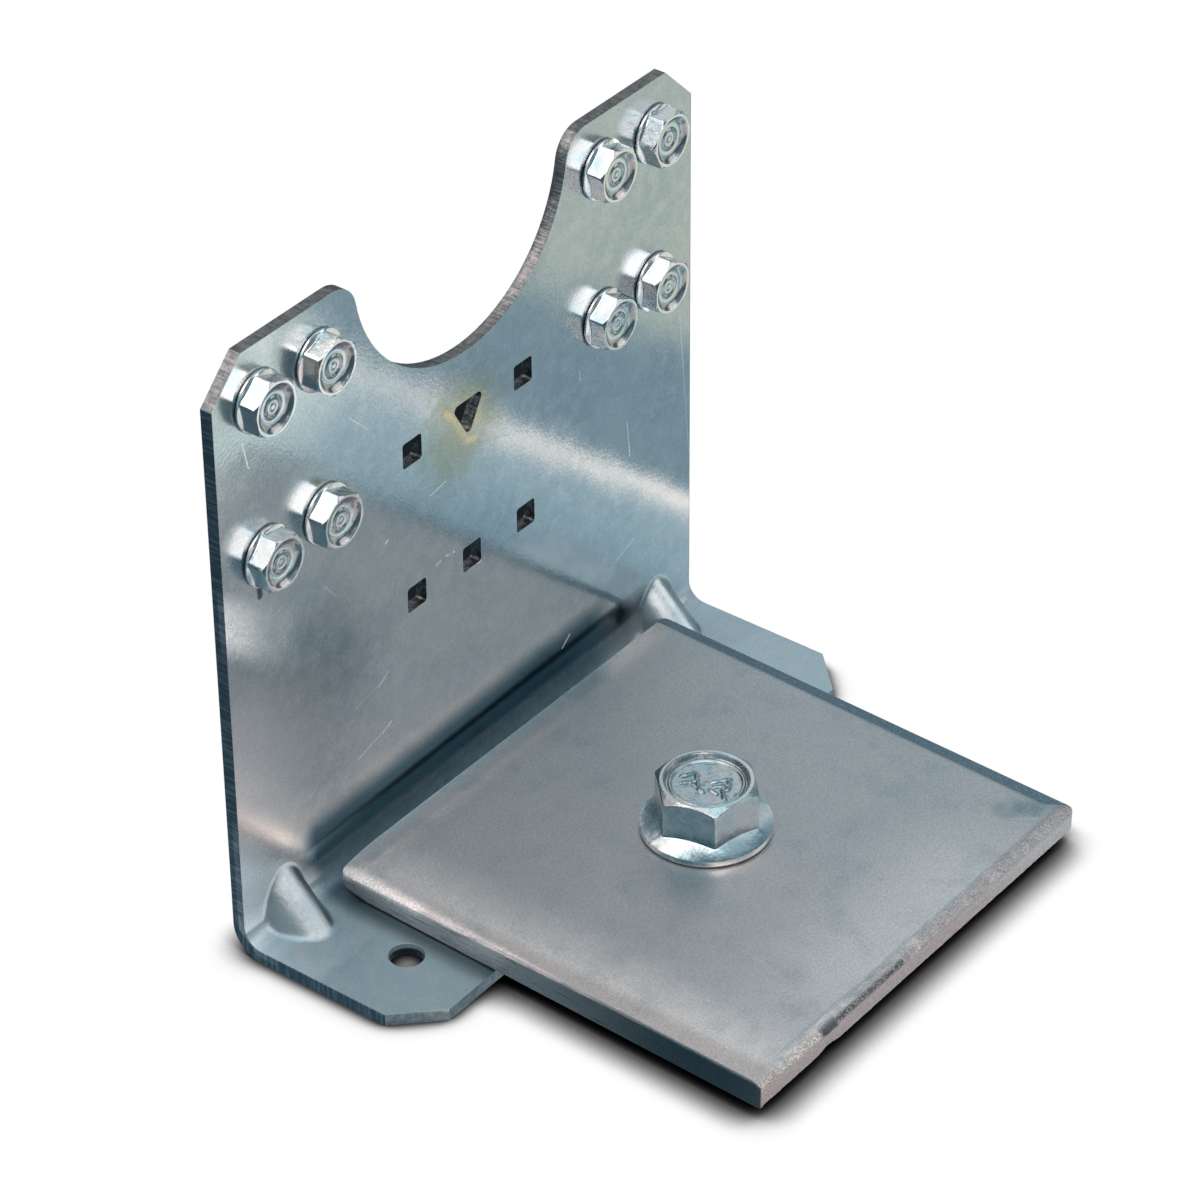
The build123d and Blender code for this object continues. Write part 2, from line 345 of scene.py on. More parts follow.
def make_world():
    world = bpy.data.worlds.new("world")
    bpy.context.scene.world = world
    world.use_nodes = True
    world.node_tree.nodes.clear()
    graph = Graph(world.node_tree)
    direction = graph.node("ShaderNodeTexCoord").outputs["Generated"]
    height = graph.split(direction)[2]
    tone = graph.mix(graph.ramp(height, 0.05, 0.4), SKY_LOW, SKY_COLOUR)
    for towards, low, high, colour in SOFT_BOXES:
        cosine = graph.dot(direction, tuple(Vector(towards).normalized()))
        tone = graph.mix(graph.ramp(cosine, low, high), tone, colour, "ADD")
    studio = graph.node("ShaderNodeBackground", {"Color": tone})
    white = graph.node("ShaderNodeBackground", {"Color": (1, 1, 1, 1)})
    path = graph.node("ShaderNodeLightPath").outputs
    both = graph.mix_shaders(path["Is Camera Ray"], studio, white)
    graph.node("ShaderNodeOutputWorld", {"Surface": both.outputs[0]})


def make_hole_shade_card():
    """Dark card close behind the leg, painted shade seen only from the front and only through the square
    holes.
    """
    half, low, high, behind = 16.0, 36.0, 69.0, LEG_FRONT + SHEET + 0.3
    corners = [(-half, low), (half, low), (half, high), (-half, high)]
    card, graph = make_stage_plane("hole_shade_card", [(x * MM, behind * MM, z * MM) for x, z in corners])
    card.visible_shadow = False
    card.visible_diffuse = False
    card.visible_glossy = False
    dark = graph.emission(HOLE_SHADE_DARK)
    clear = graph.node("ShaderNodeBsdfTransparent")
    side = graph.node("ShaderNodeNewGeometry").outputs["Backfacing"]
    both = graph.mix_shaders(side, dark, clear)
    graph.node("ShaderNodeOutputMaterial", {"Surface": both.outputs[0]})


# Meshes

SHARP_ANGLE = 35
HEAD_SHARP_ANGLE = 28


def add_piece(name, points, faces, material, sharp_angle=SHARP_ANGLE):
    """A mesh from points in millimetres, smooth but for its sharp edges."""
    mesh = bpy.data.meshes.new(name)
    mesh.from_pydata([Vector(point) * MM for point in points], [], faces)
    mesh.polygons.foreach_set("use_smooth", [True] * len(faces))
    mesh.set_sharp_from_angle(angle=math.radians(sharp_angle))
    mesh.materials.append(material)
    piece = bpy.data.objects.new(name, mesh)
    bpy.context.scene.collection.objects.link(piece)
    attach(piece, "root")
    return piece


def ring_faces(ring_count, per_ring, closed):
    """Quads between rings of points, and on from the last ring to the first if closed."""
    faces = []
    for ring in range(ring_count if closed else ring_count - 1):
        here = ring * per_ring
        there = (ring + 1) % ring_count * per_ring
        for step in range(per_ring):
            after = (step + 1) % per_ring
            faces.append((here + step, here + after, there + after, there + step))
    return faces


ARC_STEPS = 16


def rounded_outline(corners, count):
    """Evenly spaced points round a polygon, each of whose corners has its own radius."""
    path = []
    for index, (corner, radius) in enumerate(corners):
        corner = Vector(corner)
        before = (Vector(corners[index - 1][0]) - corner).normalized()
        after = (Vector(corners[(index + 1) % len(corners)][0]) - corner).normalized()
        half_angle = before.angle(after) / 2
        middle = corner + (before + after).normalized() * radius / math.sin(half_angle)
        first = corner + before * radius / math.tan(half_angle) - middle
        swing = math.pi - 2 * half_angle
        for step in range(ARC_STEPS + 1):
            path.append(middle + Matrix.Rotation(swing * step / ARC_STEPS, 2) @ first)
    path.append(path[0])
    lengths = [0.0]
    for a, b in zip(path, path[1:]):
        lengths.append(lengths[-1] + (b - a).length)
    points = []
    reached = 0
    for step in range(count):
        way = lengths[-1] * step / count
        while lengths[reached + 1] <= way:
            reached += 1
        share = (way - lengths[reached]) / (lengths[reached + 1] - lengths[reached])
        points.append(tuple(path[reached].lerp(path[reached + 1], share)))
    return points


def clamp(value):
    """The value kept between 0 and 1."""
    return max(0.0, min(1.0, value))


def bell(distance, width):
    """1 at no distance, falling away over the width."""
    return math.exp(-(distance / width) ** 2)


def side_inset(x, y, side):
    """Distance in from one side of the plate, counted from the front one."""
    start = Vector(PLATE_CORNERS[side][0])
    along = (Vector(PLATE_CORNERS[(side + 1) % 4][0]) - start).normalized()
    return max(0.0, along.x * (y - start.y) - along.y * (x - start.x))


def roll_drop(inset, width, depth):
    """How far the top has fallen at an inset from an edge, along a quarter of an ellipse."""
    if inset >= width:
        return 0.0
    return depth * (1 - math.sqrt(1 - (1 - inset / width) ** 2))


# The plate's front edge is sheared over this width, and its top settles below its nominal height
SHEAR_WIDTH = 2.0
TOP_SETTLED = 0.05
# The back left corner, whose underside is rolled the most
ROLLED_CORNER = (-37.9, 38.4)
# Foot of the facets along the right and back sides, counted in from the side
FACET_FOOT = 3.2


def plate_top(x, y):
    """Height of the plate's top at a place measured from its centre."""
    wave = noise.noise(Vector((x * 0.35, y * 0.12, 3.0)))
    chatter = noise.noise(Vector((x * 0.8, y * 0.6, 7.0)))
    streak = noise.noise(Vector((x * 0.45, y * 2.4, 4.0)))
    pitted = noise.noise(Vector((x * 2.1, y * 2.1, 9.0)))
    front, right, back, left = (side_inset(x, y, side) for side in range(4))
    backward = clamp(y / PLATE_DEPTH + 0.5)
    rolled = clamp((backward - 0.35) / 0.6)
    front_width = SHEAR_WIDTH * (1 + 0.12 * wave)
    front_fall = (0.6 + 0.6 * clamp(left / 8.0)) * (1 + 0.25 * wave + 0.15 * chatter)
    falls = [
        roll_drop(left, 0.25 + 2.35 * rolled, 0.3 + 0.75 * rolled),
        max(0.22 * max(0.0, FACET_FOOT - 0.7 * backward - right), roll_drop(right, 0.15, 0.5)),
        front_fall * max(0.0, 1 - front / front_width) ** 1.5,
        max(0.06 * max(0.0, FACET_FOOT - back), roll_drop(back, 0.3, 0.9)),
    ]
    fall = sum(value ** 6 for value in falls) ** (1 / 6)
    crown = (0.35 + 0.5 * rolled) * max(0.0, 1 - left / (11.0 - 2.0 * rolled)) ** 2
    gouge = 0.7 * math.exp(-((x - GOUGE_X) / GOUGE_HALF) ** 2 - front ** 2)
    gentle = 0.03 * noise.noise(Vector((x * 0.08, y * 0.08, 1.0)))
    torn = (0.035 * streak + 0.045 * pitted) * bell(front - 0.9, 0.9)
    return PLATE_HIGH - PLATE_LOW - fall - crown - gouge + gentle + torn - TOP_SETTLED


def plate_wall(x, y, rise, top):
    """How far the wall stands in from the outline, at a height above the underside."""
    away = 0.0
    from_corner = (x - ROLLED_CORNER[0]) ** 2 + (y - ROLLED_CORNER[1]) ** 2
    under = 0.3 + 1.1 * math.exp(-from_corner / 12.0)
    if rise < under:
        away += under * (1 - math.sqrt(1 - (1 - rise / under) ** 2))
    if abs(y) > abs(x):
        torn = clamp((0.6 * top - rise) / 0.6 + 1.2 * noise.noise(Vector((x * 0.5, 0, 5))))
        rough = noise.noise(Vector((x * 1.9, rise * 1.2, y))) * 0.5 + 0.5
        fine = noise.noise(Vector((x * 4.5, rise * 1.5, y + 9))) * 0.5 + 0.5
        away += torn * (0.04 + 0.08 * rough + 0.06 * fine) + 0.04 * fine
        away += 0.35 * bell(x - GOUGE_X, GOUGE_HALF) * (y < 0)
    return away


OUTLINE_POINTS = 800
FLAT_STEPS = 22
EDGE_STEPS = 44
EDGE_WIDTH = 8.0
WALL_STEPS = 14
# Rings along the underside, as shares of the way from its outline to the hole
UNDER_SHARES = (0.1, 0.4, 0.7, 1.0)


def between(start, end, share):
    """Place on the way from one point to another, in X and Y."""
    return start[0] + (end[0] - start[0]) * share, start[1] + (end[1] - start[1]) * share


def make_plate(material):
    """The plate as rings from its hole out over the top, down the walls and back along the underside."""
    outline = rounded_outline(PLATE_CORNERS, OUTLINE_POINTS)
    hole = [tuple(Vector(place).normalized() * PLATE_HOLE) for place in outline]
    span = PLATE_DEPTH / 2 - PLATE_HOLE
    insets = [EDGE_WIDTH + (span - EDGE_WIDTH) * (1 - step / FLAT_STEPS) for step in range(FLAT_STEPS)]
    insets += [EDGE_WIDTH * (1 - step / EDGE_STEPS) ** 1.4 for step in range(EDGE_STEPS)]
    rings = []
    for inset in insets + [0.0]:
        ring = []
        for rim, edge in zip(hole, outline):
            x, y = between(rim, edge, 1 - inset / span)
            ring.append((x, y, plate_top(x, y)))
        rings.append(ring)
    border = rings[-1]
    for step in range(1, WALL_STEPS + 1):
        ring = []
        for x, y, top in border:
            rise = top * (1 - (step / WALL_STEPS) ** 1.1)
            away = plate_wall(x, y, rise, top) * min(1.0, step / 2)
            shrink = 1 - away / (PLATE_DEPTH / 2)
            ring.append((x * shrink, y * shrink, rise))
        rings.append(ring)
    foot = rings[-1]
    for share in UNDER_SHARES:
        rings.append([(*between(place, rim, share), 0.0) for place, rim in zip(foot, hole)])
    turn = Matrix.Rotation(PLATE_TURN, 3, "Z")
    points = []
    for ring in rings:
        for x, y, rise in ring:
            x, y, _ = turn @ Vector((x, y, 0))
            points.append((PLATE_CENTRE[0] + x, PLATE_CENTRE[1] + y, PLATE_LOW + rise))
    faces = ring_faces(len(rings), OUTLINE_POINTS, True)
    piece = add_piece("plate", points, faces, material)
    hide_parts("bearing_plate")


def hex_reach(angle, apothem, turn, rounding):
    """Distance from the axis to a hexagon with slightly rounded corners."""
    total = 0.0
    for side in range(6):
        lean = math.cos(angle - math.radians(turn + 30 + 60 * side))
        total += max(0.0, lean) ** rounding
    return apothem * total ** (-1 / rounding)


# Half of a thread's ridge as a share of the pitch, and how steep its flanks are before its flat top
RIDGE_HALF = 0.26
RIDGE_STEEP = 1.25


def thread_rings(low, high, core, major, pitch, per_turn, angles):
    """Radii of rings up a threaded shank, as (radii, height)."""
    rings = []
    steps = round((high - low) / pitch * per_turn)
    for step in range(steps + 1):
        height = low + (high - low) * step / steps
        fade = min(1.0, (height - low) / pitch, (high - height) / (0.5 * pitch))
        radii = []
        for angle in angles:
            phase = (height / pitch - angle / (2 * math.pi)) % 1.0
            crest = max(0.0, 1 - abs(phase - 0.5) / RIDGE_HALF)
            radii.append(core + (major - core) * min(1.0, RIDGE_STEEP * crest) * max(0.0, fade))
        rings.append((radii, height))
    return rings


# Raised strokes on the anchor's head that form no letter: two ends of each, from its axis
HEAD_MARKS = [
    ((-0.8, 4.0), (0.8, 2.9)),
    ((1.1, 2.8), (-1.2, 0.7)),
    ((-2.2, 3.0), (-0.2, 1.5)),
    ((-1.1, 2.3), (-2.1, -0.8)),
    ((0.5, -0.4), (2.8, -2.0)),
    ((2.8, -2.1), (0.5, -3.3)),
    ((0.0, -1.4), (1.3, -2.7)),
    ((-1.0, -1.4), (-1.1, -2.7)),
    ((0.0, -2.8), (-1.6, -4.3)),
]
MARK_HALF = 0.24
MARK_RISE = 0.26


def mark_height(place):
    """1 on the ridge of a raised stroke, 0 away from them all."""
    spot = Vector((place.x, place.y))
    nearest = 9.0
    for start, end in HEAD_MARKS:
        start, end = Vector(start), Vector(end)
        share = clamp((spot - start).dot(end - start) / (end - start).length_squared)
        nearest = min(nearest, (spot - start.lerp(end, share)).length)
    return bell(nearest, MARK_HALF)


HEX_LEVELS = (0.35, 0.7, 1.0)
CHAMFER_STEPS = 12
CHAMFER_GAP = 0.02
# Fillet between hexagon and washer, out and up, for a hexagon with this apothem
FILLET_OUT = 0.10
FILLET_UP = 0.12
FILLET_APOTHEM = 7


def head_levels(size, hexagon, count):
    """Rings up the hexagon from the washer's cone to the end of its chamfer, as (radii, heights)."""
    washer_radius, washer_height, washer_slope = size["cone"]
    base = [washer_height + (washer_radius - reach) * washer_slope for reach in hexagon]
    fillet_out = FILLET_OUT * size["apothem"] / FILLET_APOTHEM
    fillet_up = FILLET_UP * size["apothem"] / FILLET_APOTHEM
    levels = [([reach + fillet_out for reach in hexagon], base)]
    levels.append((hexagon, [level + fillet_up for level in base]))
    chamfer_low = size["height"] - (max(hexagon) - size["top"]) * size["chamfer"] - CHAMFER_GAP
    for share in HEX_LEVELS:
        levels.append((hexagon, [level + (chamfer_low - level) * share for level in base]))
    for step in range(1, CHAMFER_STEPS + 1):
        height = chamfer_low + (size["height"] - chamfer_low) * step / CHAMFER_STEPS
        limit = size["top"] + (size["height"] - height) / size["chamfer"]
        levels.append(([min(reach, limit) for reach in hexagon], [height] * count))
    return levels


def make_fastener(name, node, seat, out, turn, size, material):
    """Hex washer head fastener as rings from its tip to the middle of its head."""
    count = size["count"]
    angles = [2 * math.pi * step / count for step in range(count)]

    def round_rings(profile, lift=0.0):
        return [([radius] * count, [lift + height] * count) for radius, height in profile]

    rings = round_rings(size["tip"])
    rings += [(radii, [height] * count) for radii, height in thread_rings(*size["thread"], angles)]
    rings += round_rings(size["washer"])
    hexagon = [hex_reach(angle, size["apothem"], turn, size["rounding"]) for angle in angles]
    rings += head_levels(size, hexagon, count)
    rings += round_rings(size["dish"], size["height"])
    out, across, seat = Vector(out), Vector((1, 0, 0)), Vector(seat)
    beside = out.cross(across)
    points = []
    for radii, heights in rings:
        for angle, radius, height in zip(angles, radii, heights):
            place = seat + (across * math.cos(angle) + beside * math.sin(angle)) * radius + out * height
            if radius < size["marks_within"] and height > size["height"] / 2:
                place += out * size["rough"] * noise.noise(place * 1.1)
                place += out * MARK_RISE * mark_height(place - seat)
            points.append(place)
    faces = ring_faces(len(rings), count, False)
    faces.append(tuple(range(count))[::-1])
    last = (len(rings) - 1) * count
    faces.append(tuple(last + step for step in range(count)))
    piece = add_piece(name, points, faces, material, HEAD_SHARP_ANGLE)
    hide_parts(node)


# Fasteners' sizes from the seat up: rings as (radius, height), the dish's from the head's top.
# Thread: low and high end, core and major radius, pitch, rings per turn. Cone: radius, height, slope.
ANCHOR_SIZE = {
    "count": 144,
    "rounding": 60,
    "apothem": 7.14375,
    "height": 8.75,
    "top": 6.9,
    "chamfer": math.tan(math.radians(38)),
    "tip": [(0.3, -76.2), (2.4, -76.2), (2.6, -76.0), (4.1, -73.2)],
    "thread": (-73.0, -14.0, 3.95, 4.7625, 4.2, 8),
    "washer": [
        (4.3, -12.7), (4.3, -0.05), (9.4, 0.0), (9.75, 0.15), (9.9, 0.4), (9.9, 0.95), (9.82, 1.14),
        (9.62, 1.22),
    ],
    "cone": (9.62, 1.22, 0.5),
    "dish": [
        (6.8, -0.01), (6.65, 0.0), (6.5, 0.0), (6.38, -0.05), (6.28, -0.2), (6.15, -0.5), (6.02, -0.72),
        (5.88, -0.8), (5.75, -0.78), (5.62, -0.68), (5.5, -0.6), (5.36, -0.6), (5.24, -0.68),
        (5.1, -0.82), (4.95, -0.86),
        *((4.8 - 0.16 * step, -0.85) for step in range(29)),
    ],
    "marks_within": 4.9,
    "rough": 0.1,
}
SCREW_SIZE = {
    "count": 96,
    "rounding": 60,
    "apothem": 3.96875,
    "height": 3.5,
    "top": 4.08,
    "chamfer": math.tan(math.radians(40)),
    "tip": [(0.05, -6.35), (0.6, -5.9), (1.6, -4.9), (2.1, -4.4)],
    "thread": (-4.3, -2.2, 2.1, 2.75, 1.5, 8),
    "washer": [
        (2.3, -2.15), (2.3, -0.02), (4.0, 0.0), (4.5, 0.06), (4.68, 0.16), (4.75, 0.28), (4.75, 0.42),
        (4.7, 0.52), (4.6, 0.58),
    ],
    "cone": (4.6, 0.58, 0.32),
    "dish": [
        (3.8, 0.0), (3.72, 0.0), (3.66, -0.02), (3.58, -0.08), (3.46, -0.2), (3.3, -0.34), (3.1, -0.48),
        (2.85, -0.61), (2.6, -0.7), (2.35, -0.75), (2.1, -0.77), (1.9, -0.75), (1.76, -0.68),
        (1.64, -0.58), (1.52, -0.54), (1.4, -0.58), (1.28, -0.66), (1.1, -0.73), (0.9, -0.76),
        (0.7, -0.75), (0.52, -0.68), (0.4, -0.62), (0.28, -0.6), (0.15, -0.61),
    ],
    "marks_within": 0.0,
}


# Materials: places in millimetres, colours linear

EDGE_MARGIN = 0.12
# On the bend, Y less Z is under this on the sheet's inner face and over it on the outer one
INNER_DIAGONAL = 16.7
SMALL_HOLE = (41.5, 0.0, 0.0)
RUST_CENTRE = (-1.8, LEG_FRONT, 63.8)
PLATE_MARK_Z = 6.7


def cut_face_mask(graph, place, geometry_normal):
    """1 on the sheet's cut faces: its edges, and the walls of its holes."""
    _, ny, nz = graph.split(geometry_normal)
    x, y, z = graph.split(place)
    side = graph.above(graph.absolute(x), ANGLE_HALF - EDGE_MARGIN)
    leg = graph.times(graph.above(z, 12.5), graph.below(graph.absolute(ny), 0.4))
    base = graph.times(graph.below(y, 7.5), graph.below(graph.absolute(nz), 0.4))
    return graph.most(side, leg, base)


# Scratches on the leg's front: two ends in X and Z, width, how bright
LEG_SCRATCHES = [
    ((-27.0, 28.4), (-20.3, 29.9), 0.12, 0.5),
    ((-22.0, 29.3), (-19.8, 30.6), 0.25, 1.0),
    ((-27.0, 19.2), (-20.0, 21.2), 0.14, 0.6),
    ((-21.5, 20.6), (-19.6, 21.5), 0.25, 1.0),
    ((-47.9, 85.5), (-47.0, 81.0), 0.12, 0.8),
    ((21.0, 11.0), (22.8, 12.4), 0.3, 0.9),
    ((-9.1, 55.7), (-5.4, 56.2), 0.14, 0.7),
    ((34.5, 19.4), (39.3, 21.2), 0.12, 0.5),
    ((37.6, 43.5), (38.2, 37.0), 0.1, 0.5),
    ((51.0, 56.0), (53.3, 30.0), 0.1, 0.4),
    ((-33.0, 53.5), (-30.2, 50.0), 0.1, 0.35),
    ((26.0, 58.6), (26.2, 57.0), 0.14, 0.5),
    ((7.0, 57.4), (9.4, 56.4), 0.12, 0.6),
    ((-26.0, 78.0), (-22.0, 74.0), 0.1, 0.3),
    ((5.0, 49.0), (8.0, 43.0), 0.08, 0.15),
    ((-8.2, 43.0), (-7.2, 43.2), 0.3, 0.7),
    ((-6.0, 43.4), (-5.2, 43.2), 0.25, 0.7),
    ((1.0, 38.3), (1.8, 38.0), 0.35, 0.9),
    ((-19.2, 53.1), (-18.8, 53.2), 0.3, 0.9),
    ((-4.3, 43.1), (-4.0, 43.0), 0.2, 0.8),
]


def leg_scratches(graph, x, y, z, speck):
    front = graph.point(x, 0.0, z)
    marks = []
    for (ax, az), (bx, bz), width, strength in LEG_SCRATCHES:
        mark = graph.stroke(front, (ax, 0, az), (bx, 0, bz), width, 0.12)
        marks.append(graph.times(mark, strength))
    return graph.times(
        graph.most(*marks),
        graph.below(y, LEG_FRONT + 0.2),
        graph.above(y, LEG_FRONT - 0.2),
        graph.ramp(speck, 0.35, 0.6, 0.35, 0.95),
    )


# Rust beside the triangle on the leg's front: two ends in X and Z, how strong
RUST_STREAKS = [
    ((-4.9, 67.4), (-3.9, 66.2), 0.9),
    ((-3.4, 65.6), (-0.8, 61.2), 0.5),
    ((-0.6, 60.6), (1.3, 60.0), 0.85),
    ((0.9, 61.6), (3.7, 66.4), 0.3),
    ((-3.6, 68.0), (3.0, 68.0), 0.2),
]


def rust(graph, place, upright, z, speck):
    """Masks of the stain round the triangle and of the golden streaks in it."""
    on_leg = graph.above(z, 30)
    edge = graph.noise(place, 0.42, 4, 0.65, shift=(2, 7, 3))
    away = graph.distance(upright, RUST_CENTRE)
    away = graph.plus(away, graph.times(graph.minus(edge, 0.5), 14.0))
    stain = graph.times(graph.ramp(away, 3.0, 13.0, 0.9, 0.0), on_leg)
    streaks = []
    for (ax, az), (bx, bz), strength in RUST_STREAKS:
        streak = graph.stroke(upright, (ax, LEG_FRONT, az), (bx, LEG_FRONT, bz), 0.2, 0.9)
        streaks.append(graph.times(streak, strength))
    golden = graph.times(graph.most(*streaks), graph.ramp(speck, 0.36, 0.58, 0.25, 1.0), on_leg)
    return stain, golden


def cut_edge(graph, place, torn):
    """Tone of the sheet's cut faces, with painted shade on its left edge and inside its holes, and the
    tool marks that run across them.
    """
    x, y, z = graph.split(place)
    on_leg = graph.noise(place, 2.2, 2, 0.5, stretch=(1, 0.1, 1), shift=(3, 3, 3))
    on_base = graph.noise(place, 2.2, 2, 0.5, stretch=(1, 1, 0.1), shift=(3, 3, 3))
    upper = graph.above(z, 7.0)
    across = graph.mix_numbers(upper, on_base, on_leg)
    high_tone = graph.mix(graph.ramp(torn, 0.35, 0.7), (0.12, 0.12, 0.122), (0.21, 0.20, 0.20))
    low_tone = graph.mix(graph.ramp(torn, 0.35, 0.7), (0.34, 0.33, 0.33), (0.58, 0.53, 0.51))
    # Painted shade on the left edge and inside the square, triangular and small holes
    left_edge_shade_tone = graph.mix(graph.ramp(across, 0.4, 0.65), (0.08, 0.115, 0.14), (0.17, 0.22, 0.25))
    hole_shade_tone = graph.mix(graph.ramp(torn, 0.4, 0.65), (0.035, 0.04, 0.045), (0.12, 0.115, 0.11))
    small_hole_shade_tone = graph.mix(graph.ramp(z, 0.9, 1.5), (0.03, 0.03, 0.035), (0.42, 0.44, 0.45))
    near_holes = graph.times(
        graph.below(graph.absolute(x), 17.0),
        graph.below(z, 69.5),
        graph.above(z, 30.0),
    )
    from_small_hole = graph.distance(graph.point(graph.absolute(x), y, 0.0), SMALL_HOLE)
    tone = graph.paint(
        low_tone,
        (upper, high_tone),
        (graph.ramp(across, 0.45, 0.62, 0.0, 0.25), (0.40, 0.37, 0.36)),
        (graph.below(x, -ANGLE_HALF + EDGE_MARGIN), left_edge_shade_tone),
        (near_holes, hole_shade_tone),
        (graph.below(from_small_hole, 3.6), small_hole_shade_tone),
    )
    return tone, across


def make_sheet_metal():
    """Mottled zinc. The tones along its bend are painted reflection and shade, and those on its left and
    on the base's top are painted reflections of what it mirrors there; the darts carry a painted highlight
    and painted shade, and the base beside the plate painted shade.
    """
    material, graph, shader, place = new_material("galvanised")
    normals = graph.node("ShaderNodeNewGeometry").outputs
    cut = cut_face_mask(graph, place, normals["True Normal"])
    x, y, z = graph.split(place)
    lean = graph.split(normals["Normal"])[0]
    upright = graph.point(x, LEG_FRONT, z)
    cloud = graph.noise(place, 0.06, 3, 0.55)
    mottle = graph.noise(place, 0.45, 4, 0.6, shift=(11, 3, 5))
    grain = graph.noise(place, 1.7, 3, 0.6)
    speck = graph.noise(place, 5.5, 2, 0.7, shift=(4, 8, 1))
    torn = graph.noise(place, 1.1, 3, 0.6)

    # The sheet's inner face, its bend, the stretch between the darts, the darts, the leg and the base
    inside = graph.times(
        graph.below(y, LEG_FRONT + SHEET / 2),
        graph.above(z, SHEET / 2),
        graph.below(graph.minus(y, z), INNER_DIAGONAL),
    )
    bend = graph.times(graph.fall(z, 5.2, 7.6), graph.ramp(y, 13.0, 16.0), inside)
    middle = graph.times(graph.window(x, -41.0, -37.0, 27.0, 35.0), inside)
    outer = graph.ramp(graph.absolute(x), 36.0, 40.0)
    dart = graph.times(graph.fall(z, 9.0, 14.0), graph.ramp(y, 5.0, 8.0), outer, inside)
    on_front = graph.times(graph.ramp(y, LEG_FRONT - 0.3, LEG_FRONT - 0.1), inside)
    flat = graph.fall(z, 2.2, 2.6)

    # Painted reflections: what the leg's front mirrors at its left, from the bottom up
    corner = graph.fall(graph.plus(x, graph.times(z, 0.857)), -36.0, -31.5)
    corner = graph.times(corner, graph.fall(z, 24.0, 28.0), on_front)
    gleam = graph.stroke(place, (-55.0, LEG_FRONT, 26.0), (-44.5, LEG_FRONT, 15.3), 0.6, 3.4)
    gleam = graph.times(gleam, on_front, 0.4)
    paler = graph.times(
        graph.fall(x, -52.0, -34.0),
        graph.ramp(z, 20.0, 30.0),
        graph.fall(z, 36.0, 48.0),
        on_front,
        0.55,
    )
    dim = graph.stroke(place, (-49.0, LEG_FRONT, 50.0), (-24.0, LEG_FRONT, 37.5), 3.0, 6.0)
    dim = graph.times(dim, on_front, graph.ramp(mottle, 0.3, 0.7, 0.32, 0.12))
    glint = graph.stroke(place, (-55.0, LEG_FRONT, 59.5), (-43.0, LEG_FRONT, 51.0), 2.5, 4.5)
    glint = graph.times(
        glint,
        graph.ramp(grain, 0.3, 0.6, 0.6, 1.0),
        graph.ramp(x, -54.0, -43.0, 1.0, 0.25),
        on_front,
    )
    ear = graph.times(graph.ramp(z, 72.0, 88.0), graph.fall(x, -34.0, -24.0), 0.4)

    # Painted shade on the base beside the plate's left wall
    plate_wall_shade = graph.stroke(place, (-36.0, 16.6, 2.0), (-38.0, -60.0, 2.0), 1.0, 4.0)
    stain, golden = rust(graph, place, upright, z, speck)
    marks = leg_scratches(graph, x, y, z, speck)
    # A small dark mark just under the lower left screw's washer
    dark_mark = graph.stroke(graph.point(x, 0.0, z), (-46.2, 0, 60.6), (-46.1, 0, 59.2), 0.6, 0.45)
    edge_tone, across = cut_edge(graph, place, torn)
    tone = graph.mix(graph.ramp(cloud, 0.3, 0.7), (0.37, 0.425, 0.45), (0.43, 0.475, 0.49))
    tone = graph.paint(
        tone,
        (graph.ramp(mottle, 0.35, 0.75), (0.47, 0.51, 0.525)),
        (graph.times(graph.ramp(speck, 0.66, 0.8), 0.35), (0.75, 0.79, 0.8)),
        # Painted reflection and shade along the bend, darker between the darts
        (bend, (0.29, 0.37, 0.42)),
        (graph.times(bend, middle, graph.ramp(mottle, 0.35, 0.65, 0.85, 0.55)), (0.13, 0.22, 0.27)),
        # Painted highlight over the darts, painted shade on their left facets and deeper painted shade on
        # their right flanks
        (graph.times(dart, 0.4), (0.52, 0.57, 0.60)),
        (graph.times(dart, graph.fall(lean, -0.45, -0.2), 0.75), (0.24, 0.27, 0.285)),
        (graph.times(dart, graph.ramp(lean, 0.2, 0.5), 0.85), (0.12, 0.15, 0.17)),
        # Two painted reflection bands just above the bend between the darts, a teal one and a dark one
        (graph.times(graph.window(z, 6.2, 7.2, 10.5, 15.0), middle, 0.85), (0.21, 0.43, 0.55)),
        (graph.times(graph.window(z, 9.0, 10.2, 11.5, 16.5), middle), (0.035, 0.09, 0.13)),
        # Painted reflections and highlights at the leg's left
        (graph.times(corner, 0.8), (0.78, 0.82, 0.85)),
        (paler, (0.62, 0.62, 0.63)),
        (dim, (0.20, 0.29, 0.32)),
        (gleam, (1.0, 0.90, 0.86)),
        (glint, (1.0, 1.0, 0.97)),
        (ear, (0.64, 0.67, 0.66)),
        # Painted reflection tint on the base's top, and painted shade beside the plate's left wall
        (graph.times(flat, graph.ramp(mottle, 0.35, 0.65, 0.6, 0.25)), (0.36, 0.50, 0.57)),
        (graph.times(plate_wall_shade, flat, 0.85), (0.05, 0.09, 0.11)),
        (stain, (0.34, 0.355, 0.27)),
        (golden, (0.74, 0.55, 0.28)),
        (marks, (0.95, 0.97, 0.98)),
        (graph.times(dark_mark, on_front, 0.9), (0.05, 0.05, 0.07)),
        (cut, edge_tone),
    )
    tone = graph.grain(tone, place, 0.09)

